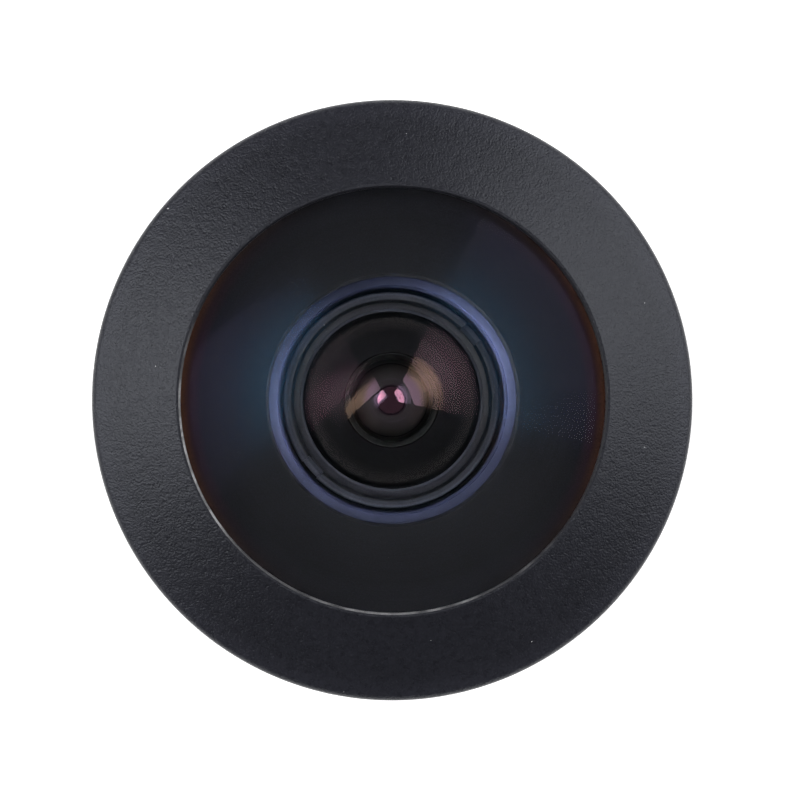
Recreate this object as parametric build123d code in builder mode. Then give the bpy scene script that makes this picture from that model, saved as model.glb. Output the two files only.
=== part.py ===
"""Fisheye lens with an M12 x 0.5 thread, in millimetres.

The lens stands on its rear end. The origin is the centre of the rear face, and +Z runs
along the optical axis towards the scene. The barrel's stepped bore is loaded from the
front: sixth element first, front element last, with the front ring screwed over it.
"""

import os
from math import cos, hypot, pi, radians, sqrt, tan

from build123d import *

# Rear face to the top of the front glass; the air behind the second element takes up the rest
overall_height = 16.385

# Fits: radial clearances, and the play left where one piece only follows another
glass_fit = 0.02
thread_fit = 0.05
edge_play = 0.05

# Glass left above each apex on the blanks, before the surfaces are ground
blank_margin = 0.2

# Thread, neck and shoulder of the barrel
thread_diameter = 12.0
thread_length = 6.6
thread_lead = 0.45
neck_undercut = 0.25
flange_inset = 0.7
flange_thickness = 0.8
flange_bevel = 0.25

# Lock ring, screwed up to the flange
lock_ring_wall = 1.95
lock_ring_thickness = 2.0
lock_ring_bevel = 0.3
lock_ring_play = 0.05
lock_ring_engagement = 0.1
notch_count = 12
notch_radius = 0.9
notch_depth = 0.45

# Rear end: filter recess and the ledge that the sixth element sits on
filter_side = 5.0
filter_thickness = 0.4
filter_corner = 0.3
filter_setback = 0.6
filter_room = 0.2
recess_bevel = 0.15
ledge_thickness = 0.78
ledge_margin = 0.1
bead_count = 4
bead_length = 1.6
bead_section = 0.3

# Rear glass shares one bore. Sixth element, biconvex
rear_glass_diameter = 5.0
sixth_front_radius = 4.73
sixth_rear_radius = 11.0
sixth_rim_width = 0.5
sixth_rim_thickness = 0.8

# Cemented pair: fourth element biconvex, fifth element a cup behind it
fifth_centre = 0.6
fifth_rear_radius = 10.0
fifth_rim_width = 0.5
cement_radius = 2.8
fourth_diameter = 4.4
fourth_front_radius = 7.44
fourth_rim_width = 0.4
fourth_rim_thickness = 0.33
pair_to_sixth_gap = 0.15
pair_spacer_height = 0.52

# Aperture stop
stop_opening = 2.14
stop_thickness = 0.1
stop_edge_thickness = 0.02
stop_spacer_height = 0.57

# Third element, biconvex
third_diameter = 7.4
third_front_radius = 10.0
third_rear_radius = 18.0
third_rim_width = 0.6
third_rim_thickness = 2.42
trap_count = 3
trap_depth = 0.22

# Thin black shields that mask the rims of the glass
shield_thickness = 0.05
shield_margin = 0.05

# Second element, a meniscus with a deep hollow at its rear
second_diameter = 7.9
second_front_radius = 30.0
second_hollow_radius = 2.7
second_centre = 0.7
second_rim_width = 0.58
second_rim_thickness = 1.34
second_pocket_gap = 0.4

# Inner ring, screwed down on the second element
inner_ring_height = 0.45
inner_ring_thread = 0.15
inner_ring_recess = 0.49
inner_lip_height = 0.1
inner_lip_bevel = 0.07
inner_floor_width = 0.21
inner_floor_rise = 0.03
inner_shelf_width = 0.18
slot_width = 0.8
slot_depth = 0.2
slot_angle = 40.0

# Front element, a meniscus with a near-hemispherical hollow
front_diameter = 14.9
front_dome_radius = 13.2
front_hollow_radius = 4.95
front_centre = 1.25
front_edge = 0.8
glass_bevel = 0.12

# Head: cup of the barrel, seal and the front ring
cup_wall = 1.1
cup_bevel = 0.15
cup_rise = 0.35
pocket_fit = 0.05
seal_section = 0.5
seal_sides = 6
ring_wall = 1.35
ring_slope = 22.0
ring_lip_overlap = 0.35
ring_lip_height = 0.26
ring_lip_bevel = 0.15
ring_rim_bevel = 0.3
ring_foot_bevel = 0.2
ring_foot_gap = 0.1
ring_headroom = 0.1


def sag(radius, height):
    """Depth of a sphere's surface at a height off the axis."""
    return radius - sqrt(radius**2 - height**2)


def mouth(radius, depth):
    """Radius at which a spherical hollow of this depth opens."""
    return sqrt(radius**2 - (radius - depth) ** 2)


def disc(radius, base, top):
    """Round plate between two levels."""
    with BuildSketch(Plane.XY.offset(base)) as outline:
        Circle(radius)
    extrude(outline.sketch, amount=top - base)


def ground(apex, radius, side, mode=Mode.INTERSECT):
    """Spherical surface through an apex; its centre is below for side 1 and above for -1.

    The sphere's poles lie across the optical axis, so that the facets come out even.
    """
    with Locations((0, 0, apex - side * radius)):
        Sphere(radius, rotation=(90, 0, 0), mode=mode)


def washer(outer, inner, base, height):
    """Flat ring, extruded upwards from its base."""
    with BuildSketch(Plane.XY.offset(base)) as outline:
        Circle(outer)
        Circle(inner, mode=Mode.SUBTRACT)
    extrude(outline.sketch, amount=height)


def finish(piece, label):
    """Name a piece and write it to its own file."""
    piece.part.label = label
    export_step(piece.part, f"parts/{label}.step")


# Radii that follow from the diameters
thread_radius = thread_diameter / 2
neck_radius = thread_radius - neck_undercut
lock_ring_bore = thread_radius + thread_fit
lock_ring_radius = lock_ring_bore + lock_ring_wall
rear_edge = rear_glass_diameter / 2
rear_bore = rear_edge + glass_fit
sixth_clear = rear_edge - sixth_rim_width
fifth_clear = rear_edge - fifth_rim_width
fourth_edge = fourth_diameter / 2
fourth_clear = fourth_edge - fourth_rim_width
third_edge = third_diameter / 2
third_clear = third_edge - third_rim_width
second_edge = second_diameter / 2
second_clear = second_edge - second_rim_width
front_radius = front_diameter / 2
ring_bore = second_edge + inner_ring_thread
recess_radius = hypot(filter_side, filter_side) / 2 + filter_room
ledge_radius = sixth_clear + ledge_margin
main_bore = third_edge + glass_fit
second_bore = second_edge + glass_fit
pocket_radius = front_radius + pocket_fit
cup_radius = pocket_radius + cup_wall
head_bore = cup_radius + thread_fit
head_radius = head_bore + ring_wall
flange_radius = head_radius - flange_inset

# Levels of the stack up to the third element, each piece on the one behind it
filter_rear = filter_setback
filter_front = filter_rear + filter_thickness
sixth_seat = filter_front + ledge_thickness
sixth_rim = sixth_seat + sixth_rim_thickness
sixth_apex = sixth_rim + sag(sixth_front_radius, sixth_clear)
sixth_rear_apex = sixth_seat - sag(sixth_rear_radius, sixth_clear)
fifth_rear_apex = sixth_apex + pair_to_sixth_gap
fifth_seat = fifth_rear_apex + sag(fifth_rear_radius, fifth_clear)
cement_apex = fifth_rear_apex + fifth_centre
cement_edge = cement_apex + sag(cement_radius, fourth_edge)
fourth_rim = cement_edge + fourth_rim_thickness
fourth_apex = fourth_rim + sag(fourth_front_radius, fourth_clear)
stop_seat = fourth_rim + pair_spacer_height
stop_front = stop_seat + stop_thickness
third_seat = stop_front + stop_spacer_height
third_rim = third_seat + third_rim_thickness
third_apex = third_rim + sag(third_front_radius, third_clear)
third_rear_apex = third_seat - sag(third_rear_radius, third_clear)

# Levels from the top of the front glass down to the front spacer
front_apex = overall_height
front_seat = front_apex - sag(front_dome_radius, front_radius) - front_edge
front_hollow_apex = front_apex - front_centre
front_mouth = mouth(front_hollow_radius, front_hollow_apex - front_seat)
inner_ring_top = front_seat - inner_ring_recess
second_rim = inner_ring_top - inner_ring_height
second_seat = second_rim - second_rim_thickness
second_apex = second_rim + sag(second_front_radius, second_clear)
second_hollow_apex = second_apex - second_centre
second_mouth = mouth(second_hollow_radius, second_hollow_apex - second_seat)
front_spacer_top = second_seat - shield_thickness
front_spacer_height = front_spacer_top - third_rim

# Levels of the barrel's outside and of the head
thread_top = thread_lead + thread_length
flange_base = thread_top + lock_ring_thickness + lock_ring_play - lock_ring_engagement
flange_top = flange_base + flange_thickness
cup_top = front_seat + cup_rise
seal_radius = seal_section / 2
seal_centre = front_radius + seal_radius + glass_fit
seal_flat = seal_radius * cos(pi / seal_sides)
seal_level = cup_top + seal_flat
lip_radius = front_radius - ring_lip_overlap
lip_underside = front_apex - sag(front_dome_radius, lip_radius) + glass_fit
lip_top = lip_underside + ring_lip_height + ring_lip_bevel
seal_roof = max(seal_level + seal_flat, front_seat + front_edge) + glass_fit
ring_foot = flange_top + ring_foot_gap
ring_shoulder = cup_top + ring_headroom
cone_inner = lip_radius + ring_lip_bevel
rim_radius = head_radius - ring_rim_bevel
rim_level = lip_top - (rim_radius - cone_inner) * tan(radians(ring_slope))
lock_ring_top = flange_base - lock_ring_play
lock_ring_base = lock_ring_top - lock_ring_thickness

os.makedirs("parts", exist_ok=True)

# Barrel: turned outside, then the stepped bore from the front and the filter recess
with BuildPart() as barrel:
    with BuildSketch(Plane.XZ):
        with BuildLine():
            Polyline(
                (0, 0),
                (thread_radius - thread_lead, 0),
                (thread_radius, thread_lead),
                (thread_radius, thread_top),
                (neck_radius, thread_top + thread_radius - neck_radius),
                (neck_radius, flange_base),
                (flange_radius - flange_bevel, flange_base),
                (flange_radius, flange_base + flange_bevel),
                (flange_radius, flange_top),
                (cup_radius, flange_top),
                (cup_radius, cup_top - cup_bevel),
                (cup_radius - cup_bevel, cup_top),
                (0, cup_top),
                close=True,
            )
        make_face()
    revolve(axis=Axis.Z)
    for radius, floor, top in (
        (pocket_radius, front_seat, cup_top),
        (ring_bore, second_rim - inner_ring_thread, front_seat),
        (second_bore, second_seat - second_pocket_gap, second_rim),
        (main_bore, stop_seat, second_seat),
        (rear_bore, sixth_seat, stop_seat),
        (ledge_radius, filter_front, sixth_seat),
        (recess_radius, 0, filter_front),
    ):
        with BuildSketch(Plane.XY.offset(floor)):
            Circle(radius)
        extrude(amount=top - floor, mode=Mode.SUBTRACT)
    rear_edges = barrel.edges().filter_by(GeomType.CIRCLE).group_by(Axis.Z)[0]
    chamfer(rear_edges.sort_by(SortBy.RADIUS)[0], recess_bevel)
finish(barrel, "barrel")

# Front ring: cone that falls away from a thin lip over the edge of the glass
with BuildPart() as front_ring:
    with BuildSketch(Plane.XZ):
        with BuildLine():
            Polyline(
                (head_bore, ring_foot),
                (head_radius - ring_foot_bevel, ring_foot),
                (head_radius, ring_foot + ring_foot_bevel),
                (head_radius, rim_level - ring_rim_bevel),
                (rim_radius, rim_level),
                (cone_inner, lip_top),
                (lip_radius, lip_top - ring_lip_bevel),
                (lip_radius, lip_underside),
                (front_radius, seal_roof),
                (seal_centre + seal_radius + glass_fit, seal_roof),
                (seal_centre + seal_radius + glass_fit, ring_shoulder),
                (head_bore, ring_shoulder),
                close=True,
            )
        make_face()
    revolve(axis=Axis.Z)
finish(front_ring, "front_ring")

# Front element: domed meniscus with a near-hemispherical hollow
with BuildPart() as front_element:
    disc(front_radius, front_seat, front_apex + blank_margin)
    ground(front_apex, front_dome_radius, 1)
    chamfer(front_element.edges().filter_by(GeomType.CIRCLE).group_by(Axis.Z)[0], glass_bevel)
    ground(front_hollow_apex, front_hollow_radius, 1, Mode.SUBTRACT)
finish(front_element, "front_element")

# Front seal: rubber ring round the edge of the front element, its section a polygon
with BuildPart() as front_seal:
    with BuildSketch(Plane.XZ):
        with Locations((seal_centre, seal_level)):
            RegularPolygon(seal_radius, seal_sides)
    revolve(axis=Axis.Z)
finish(front_seal, "front_seal")

# Inner ring: stepped bore in sight through the front element, two spanner slots
with BuildPart() as inner_ring:
    inner_bore = second_clear + edge_play
    floor_start = inner_bore + inner_lip_bevel
    floor_end = floor_start + inner_floor_width
    floor_level = second_rim + inner_lip_height + inner_lip_bevel
    shelf_end = floor_end + inner_shelf_width
    ring_edge = ring_bore - glass_fit
    with BuildSketch(Plane.XZ):
        with BuildLine():
            Polyline(
                (inner_bore, second_rim),
                (inner_bore, second_rim + inner_lip_height),
                (floor_start, floor_level),
                (floor_end, floor_level + inner_floor_rise),
                (floor_end, inner_ring_top),
                (shelf_end, inner_ring_top),
                (ring_edge, inner_ring_top - (ring_edge - shelf_end)),
                (ring_edge, second_rim),
                close=True,
            )
        make_face()
    revolve(axis=Axis.Z)
    with BuildSketch(Plane.XY.offset(inner_ring_top - slot_depth).rotated((0, 0, slot_angle))):
        Rectangle(2 * ring_bore, slot_width)
        Circle(floor_end - edge_play, mode=Mode.SUBTRACT)
    extrude(amount=slot_depth, mode=Mode.SUBTRACT)
finish(inner_ring, "inner_ring")

# Second element: meniscus with flat rims
with BuildPart() as second_element:
    disc(second_clear, second_seat, second_apex + blank_margin)
    ground(second_apex, second_front_radius, 1)
    disc(second_edge, second_seat, second_rim)
    ground(second_hollow_apex, second_hollow_radius, 1, Mode.SUBTRACT)
finish(second_element, "second_element")

# Front shield: thin black washer behind the second element
with BuildPart() as front_shield:
    washer(third_edge, second_mouth + shield_margin, front_spacer_top, shield_thickness)
finish(front_shield, "front_shield")

# Front spacer: its bore widens to the rear in saw-tooth light traps
with BuildPart() as front_spacer:
    spacer_top_bore = second_mouth + 2 * shield_margin
    spacer_rear_bore = third_clear + edge_play
    tooth_height = front_spacer_height / trap_count
    tooth_widening = (spacer_rear_bore - spacer_top_bore - trap_depth) / trap_count
    teeth = [(spacer_top_bore, front_spacer_top)]
    for tooth in range(trap_count):
        root = spacer_top_bore + tooth_widening * (tooth + 1)
        level = front_spacer_top - tooth_height * (tooth + 1)
        teeth += [(root + trap_depth, level), (root, level)]
    teeth.pop()
    with BuildSketch(Plane.XZ):
        with BuildLine():
            Polyline(
                (third_edge, third_rim),
                (third_edge, front_spacer_top),
                *teeth,
                close=True,
            )
        make_face()
    revolve(axis=Axis.Z)
finish(front_spacer, "front_spacer")

# Third element: thick biconvex glass with flat rims
with BuildPart() as third_element:
    disc(third_clear, third_rear_apex - blank_margin, third_apex + blank_margin)
    ground(third_apex, third_front_radius, 1)
    ground(third_rear_apex, third_rear_radius, -1)
    disc(third_edge, third_seat, third_rim)
finish(third_element, "third_element")

# Stop spacer, aperture stop with a thin bevelled edge, and pair spacer
with BuildPart() as stop_spacer:
    washer(third_edge, third_clear + edge_play, stop_front, stop_spacer_height)
finish(stop_spacer, "stop_spacer")

with BuildPart() as aperture_stop:
    washer(third_edge, stop_opening / 2, stop_seat, stop_thickness)
    opening_edge = aperture_stop.edges().filter_by(GeomType.CIRCLE).group_by(Axis.Z)[-1]
    chamfer(opening_edge.sort_by(SortBy.RADIUS)[0], stop_thickness - stop_edge_thickness)
finish(aperture_stop, "aperture_stop")

with BuildPart() as pair_spacer:
    washer(rear_bore - glass_fit, fourth_clear + edge_play, fourth_rim, pair_spacer_height)
finish(pair_spacer, "pair_spacer")

# Fourth element: biconvex front half of the cemented pair
with BuildPart() as fourth_element:
    disc(fourth_clear, cement_apex - blank_margin, fourth_apex + blank_margin)
    ground(fourth_apex, fourth_front_radius, 1)
    disc(fourth_edge, cement_apex - blank_margin, fourth_rim)
    ground(cement_apex, cement_radius, -1)
finish(fourth_element, "fourth_element")

# Fifth element: its hollow front is cemented to the fourth
with BuildPart() as fifth_element:
    disc(fifth_clear, fifth_rear_apex - blank_margin, cement_edge)
    ground(fifth_rear_apex, fifth_rear_radius, -1)
    disc(rear_edge, fifth_seat, cement_edge)
    ground(cement_apex, cement_radius, -1, Mode.SUBTRACT)
finish(fifth_element, "fifth_element")

# Rear spacer and rear shield between the pair and the sixth element
with BuildPart() as rear_spacer:
    spacer_base = sixth_rim + shield_thickness
    spacer_bore = max(fifth_clear, sixth_clear) + edge_play
    washer(rear_bore - glass_fit, spacer_bore, spacer_base, fifth_seat - spacer_base)
finish(rear_spacer, "rear_spacer")

with BuildPart() as rear_shield:
    washer(rear_bore - glass_fit, sixth_clear + edge_play, sixth_rim, shield_thickness)
finish(rear_shield, "rear_shield")

# Sixth element: biconvex, on the ledge at the rear of the bore
with BuildPart() as sixth_element:
    disc(sixth_clear, sixth_rear_apex - blank_margin, sixth_apex + blank_margin)
    ground(sixth_apex, sixth_front_radius, 1)
    ground(sixth_rear_apex, sixth_rear_radius, -1)
    disc(rear_edge, sixth_seat, sixth_rim)
finish(sixth_element, "sixth_element")

# Infrared filter: square plate against the floor of the rear recess
with BuildPart() as infrared_filter:
    with BuildSketch(Plane.XY.offset(filter_rear)) as plate:
        Rectangle(filter_side, filter_side)
        chamfer(plate.vertices(), filter_corner)
    extrude(amount=filter_thickness)
finish(infrared_filter, "infrared_filter")

# Adhesive: a fillet along the middle of each of the filter's four sides
with BuildPart() as filter_adhesive:
    for bead in range(bead_count):
        with BuildSketch(Plane.XZ.rotated((0, 0, bead * 360 / bead_count))):
            with Locations((filter_side / 2, filter_front)):
                Polygon((0, 0), (0, -bead_section), (bead_section, 0), align=None)
        extrude(amount=bead_length / 2, both=True)
finish(filter_adhesive, "filter_adhesive")

# Lock ring: notched rim, bore that runs over the thread
with BuildPart() as lock_ring:
    with BuildSketch(Plane.XY.offset(lock_ring_base)):
        Circle(lock_ring_radius)
        Circle(lock_ring_bore, mode=Mode.SUBTRACT)
    extrude(amount=lock_ring_thickness)
    chamfer(lock_ring.edges().filter_by(GeomType.CIRCLE), lock_ring_bevel)
    with BuildSketch(Plane.XY.offset(lock_ring_base)):
        with PolarLocations(lock_ring_radius + notch_radius - notch_depth, notch_count):
            Circle(notch_radius)
    extrude(amount=lock_ring_thickness, mode=Mode.SUBTRACT)
finish(lock_ring, "lock_ring")

print(f"height {front_apex:.3f}, head diameter {2 * head_radius:.3f}")
print(f"hollow mouths {front_mouth:.3f} and {second_mouth:.3f}, cone rim at {rim_level:.3f}")
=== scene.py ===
import math

import bpy
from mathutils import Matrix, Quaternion, Vector


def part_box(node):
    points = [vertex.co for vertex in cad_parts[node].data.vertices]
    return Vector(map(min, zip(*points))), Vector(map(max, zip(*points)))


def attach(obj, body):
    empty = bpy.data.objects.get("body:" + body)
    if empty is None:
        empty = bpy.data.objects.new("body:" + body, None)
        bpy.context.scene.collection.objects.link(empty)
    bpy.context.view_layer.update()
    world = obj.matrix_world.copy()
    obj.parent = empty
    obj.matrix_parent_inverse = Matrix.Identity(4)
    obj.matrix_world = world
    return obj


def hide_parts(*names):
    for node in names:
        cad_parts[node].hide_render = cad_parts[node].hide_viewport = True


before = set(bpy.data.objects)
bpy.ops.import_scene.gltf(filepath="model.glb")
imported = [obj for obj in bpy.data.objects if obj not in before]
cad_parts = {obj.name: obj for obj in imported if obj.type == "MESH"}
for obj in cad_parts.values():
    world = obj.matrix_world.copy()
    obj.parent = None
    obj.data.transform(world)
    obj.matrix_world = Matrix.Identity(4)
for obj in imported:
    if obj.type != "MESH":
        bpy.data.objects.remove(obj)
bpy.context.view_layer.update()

bl_info = {
    "name": "Fisheye board lens",
    "version": (1, 0, 0),
    "blender": (4, 5, 0),
    "location": "3D View > Sidebar > Board Lens",
    "description": "Dresses a packed M12 fisheye lens with its pieces, finishes and studio",
    "category": "Object",
}

# The CAD model's box, and the places of its pieces, all in metres
MM = 0.001
MERGE = 0.0005 * MM
LENS = "lens"
LOCK = "focus_lock"


def base(node):
    """Lowest level of a CAD node."""
    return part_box(node)[0].z


def top(node):
    """Highest level of a CAD node."""
    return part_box(node)[1].z


def reach(node):
    """Outer radius of a CAD node."""
    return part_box(node)[1].y


def span(node):
    """Lowest and highest level and outer radius of a CAD node."""
    return base(node), top(node), reach(node)


def sag(radius, height):
    """Depth of a sphere's surface at a height off the axis."""
    return radius - math.sqrt(radius**2 - height**2)


def length(name, description, millimetres):
    """A size that the user can change."""
    return bpy.props.FloatProperty(
        name=name, description=description, default=millimetres * MM, unit="LENGTH", precision=5
    )


def colour(name, description, rgb):
    """A surface colour that the user can change."""
    return bpy.props.FloatVectorProperty(
        name=name, description=description, default=rgb, size=3, min=0.0, max=4.0, subtype="COLOR"
    )


def factor(name, description, value, high=1.0):
    """A plain number without a unit."""
    return bpy.props.FloatProperty(name=name, description=description, default=value, min=0.0, max=high)


def angle(name, description, degrees):
    """An angle that the user can change."""
    return bpy.props.FloatProperty(
        name=name, description=description, default=math.radians(degrees), subtype="ANGLE"
    )


class LensGlassSettings(bpy.types.PropertyGroup):
    """Radii and clear openings of the glass elements"""

    dome_radius: length("Dome radius", "Front surface of the front element", 13.2)
    hollow_radius: length("Hollow radius", "Rear surface of the front element", 5.05)
    front_centre: length("Front centre", "Thickness of the front element on the axis", 1.25)
    glass_bevel: length("Glass bevel", "Small bevel ground on every sharp edge of glass", 0.06)
    second_radius: length("Second front radius", "Front surface of the second element", 30.0)
    second_hollow: length("Second hollow radius", "Rear surface of the second element", 2.7)
    second_centre: length("Second centre", "Thickness of the second element on the axis", 0.7)
    second_clear: length("Second clear radius", "Polished front of the second element", 3.37)
    third_front: length("Third front radius", "Front surface of the third element", 10.0)
    third_rear: length("Third rear radius", "Rear surface of the third element", 18.0)
    third_clear: length("Third clear radius", "Polished part of the third element", 3.1)
    fourth_front: length("Fourth front radius", "Front surface of the fourth element", 7.44)
    fourth_clear: length("Fourth clear radius", "Polished part of the fourth element", 1.8)
    cement_radius: length("Cement radius", "Cemented surface between the fourth and fifth", 2.8)
    fifth_rear: length("Fifth rear radius", "Rear surface of the fifth element", 10.0)
    sixth_front: length("Sixth front radius", "Front surface of the sixth element", 4.73)
    sixth_rear: length("Sixth rear radius", "Rear surface of the sixth element", 11.0)
    rear_clear: length("Rear clear radius", "Polished part of the fifth and sixth elements", 2.0)
    ledge_thickness: length("Ledge thickness", "Ledge between the filter and the sixth element", 0.78)
    seat_gap: length("Seat gap", "Air between a glass flat and the black seat behind it", 0.012)


class LensBodySettings(bpy.types.PropertyGroup):
    """Sizes of the barrel and its rings"""

    thread_crest: length("Thread crest", "Radius of the thread's crest", 6.0)
    thread_pitch: length("Thread pitch", "Advance of the thread in one turn", 0.5)
    thread_depth: length("Thread depth", "Depth of the thread's groove", 0.3)
    thread_start: length("Thread start", "Level where the lead ends and the full thread starts", 0.45)
    thread_top: length("Thread top", "Level where the thread meets the neck", 7.05)
    neck_radius: length("Neck radius", "Relief between the thread and the flange", 5.75)
    flange_base: length("Flange base", "Lower face of the flange", 9.0)
    flange_top: length("Flange top", "Upper face of the flange", 9.8)
    flange_bevel: length("Flange bevel", "Bevel of the flange's lower edge", 0.25)
    cup_radius: length("Cup radius", "Outside of the cup for the front element", 8.6)
    pocket_radius: length("Pocket radius", "Inside of the cup round the front element", 7.5)
    ring_bore: length("Ring bore", "Threaded bore of the inner ring", 4.1)
    second_bore: length("Second bore", "Bore round the second element", 3.97)
    main_bore: length("Main bore", "Bore round the third element and the stop", 3.72)
    rear_bore: length("Rear bore", "Bore round the rear glass", 2.52)
    ledge_radius: length("Ledge radius", "Opening of the ledge under the sixth element", 2.1)
    recess_radius: length("Recess radius", "Recess that holds the filter", 3.7355)
    lip_radius: length("Lip radius", "Opening of the front ring over the glass", 7.05)
    head_bore: length("Head bore", "Threaded bore of the front ring", 8.65)
    ring_slope: angle("Ring slope", "Fall of the front ring's cone", 22.0)
    rim_round: length("Rim round", "Rounding of the front ring's outer edge", 0.3)
    lip_bevel: length("Lip land", "Flat land on top of the front ring's lip", 0.15)
    lip_edge: length("Lip edge", "Width of the bevel at the inner edge of the land", 0.07)
    lock_bore: length("Lock ring bore", "Bore of the lock ring", 6.05)
    notch_radius: length("Notch radius", "Radius of the lock ring's notches", 0.9)
    notch_depth: length("Notch depth", "Depth of the lock ring's notches", 0.45)
    notch_count: bpy.props.IntProperty(name="Notches", description="Notches round the lock ring", default=12)


class LensFinishSettings(bpy.types.PropertyGroup):
    """Colours of the metal, the inks, the paint and the floor"""

    anodised: colour("Anodised black", "Front ring", (0.0142, 0.0144, 0.0195))
    barrel_black: colour("Barrel black", "Barrel and lock ring", (0.022, 0.022, 0.027))
    inner_black: colour("Inner black", "Inner ring and spacers", (0.020, 0.021, 0.024))
    bore_black: colour("Bore black", "Matte black inside the barrel", (0.010, 0.010, 0.011))
    ink: colour("Ink", "Black ink on the flats and edges of the glass", (0.0145, 0.0155, 0.0195))
    # Rim red and rim gold are painted reflection: red and gold bands of the lamps' light, as a coating
    # reflects it at grazing angles, painted on the inked flat under the lip
    rim_painted_red: colour("Rim red", "Varnish that shows under the lip, inner zone", (0.055, 0.020, 0.028))
    rim_painted_gold: colour("Rim gold", "Varnish that shows under the lip, right at the rim", (0.15, 0.055, 0.025))
    oxide_floor: colour("Oxide floor", "Groove of the inner ring", (0.042, 0.044, 0.062))
    # The crest colour is painted light: the lighter band and bright edge lines of the inner ring stand in for
    # lit faces and edge highlights
    oxide_crest_painted_light: colour("Oxide crest", "Worn crest of the inner ring", (0.11, 0.12, 0.16))
    edge_paint: colour("Edge paint", "Thin grey paint on the edge of the second element", (0.30, 0.32, 0.32))
    # Bare metal colours the real specks and also the painted highlight on the lip's edge
    bare_metal_and_highlight: colour("Bare metal", "Specks and worn edges of the anodising", (0.62, 0.62, 0.64))
    # The ground edge's bright blue is partly painted glow, standing in for the lamps' light inside the glass
    ground_edge: colour("Ground edge", "Finely ground edge of the front element", (0.40, 0.47, 0.88))
    floor_white: colour("Floor", "Paper under the lens", (0.86, 0.86, 0.86))


class LensCoatingSettings(bpy.types.PropertyGroup):
    """What little light each coating reflects, against bare glass"""

    dome_centre: colour("Dome centre", "Dome, over the pupil", (0.004, 0.008, 0.012))
    dome_middle: colour("Dome middle", "Dome, over the rim of its hollow", (0.021, 0.072, 0.142))
    dome_shoulder: colour("Dome shoulder", "Dome, half way to its edge", (0.011, 0.028, 0.069))
    dome_outer: colour("Dome outer zone", "Dome, near the lip of the ring", (0.009, 0.0055, 0.045))
    hollow_centre: colour("Hollow centre", "Hollow of the front element, over the pupil", (0.70, 0.42, 0.60))
    hollow_middle: colour("Hollow middle", "Hollow of the front element, round the pupil", (0.62, 0.40, 0.28))
    hollow_outer: colour("Hollow outer zone", "Hollow of the front element, further out", (0.04, 0.025, 0.03))
    second_front: colour("Second front", "Front of the second element", (0.24, 0.13, 0.18))
    bowl: colour("Second bowl", "Hollow of the second element", (0.25, 0.18, 0.30))
    third_front: colour("Third front", "Front of the third element", (0.20, 0.12, 0.20))
    third_rear: colour("Third rear", "Rear of the third element", (0.03, 0.02, 0.02))
    fourth_front: colour("Fourth front", "Uncoated glass right behind the stop", (2.9, 1.15, 1.7))
    inner: colour("Inner glass", "Glass further back", (0.8, 0.25, 0.45))


class LensStageSettings(bpy.types.PropertyGroup):
    """Camera and lamps"""

    camera_distance: length("Camera distance", "Camera to the floor, along its own axis", 300.0)
    camera_tilt: angle("Camera tilt", "Lean of the camera to the left of the optical axis", 1.2)
    frame_width: length("Frame width", "Width of the picture at the front ring's rim", 26.62)
    aim_right: length("Aim to the right", "Picture centre, right of the optical axis", 0.25)
    aim_up: length("Aim upwards", "Picture centre, above the optical axis", 0.005)
    right_distance: length("Right distance", "Lens to the right softbox", 498.0)
    left_distance: length("Left distance", "Lens to the left softbox", 350.0)
    right_radiance: factor("Right radiance", "Brightness of the right softbox", 3.4, 50.0)
    left_radiance: factor("Left radiance", "Brightness of the left softbox, in its middle", 6.6, 50.0)
    right_azimuth: angle("Right azimuth", "Middle of the right softbox", 25.5)
    right_polar: angle("Right polar angle", "Middle of the right softbox, off the optical axis", 30.1)
    right_width: length("Right width", "Width of the right softbox, which stands upright", 384.0)
    right_height: length("Right height", "Height of the right softbox", 679.0)
    left_azimuth: angle("Left azimuth", "Middle of the left softbox", 169.0)
    left_polar: angle("Left polar angle", "Middle of the left softbox, off the optical axis", 42.5)
    left_width: length("Left width", "Width of the left softbox, which faces the lens", 214.0)
    left_height: length("Left height", "Height of the left softbox", 434.0)
    left_roll: angle("Left roll", "Turn of the left softbox on its arm", 48.7)
    left_slide: length("Left slide", "Shift of the left softbox along its own height", -42.0)
    left_spread: angle("Left spread", "Angle to which a grid narrows the left softbox's light", 80.0)
    world_level: factor("World level", "Brightness of the studio's walls", 0.12)


def deselect():
    """Nothing is selected or in edit mode after this."""
    if bpy.context.object and bpy.context.object.mode == "EDIT":
        bpy.ops.object.mode_set(mode="OBJECT")
    bpy.ops.object.select_all(action="DESELECT")


def choose(piece):
    """Make one piece the selected and active one."""
    deselect()
    piece.select_set(True)
    bpy.context.view_layer.objects.active = piece


def open_new(name):
    """Name the piece that was just added and select all of it in edit mode."""
    piece = bpy.context.object
    piece.name = name
    bpy.ops.object.mode_set(mode="EDIT")
    bpy.ops.mesh.select_all(action="SELECT")
    return piece


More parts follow.
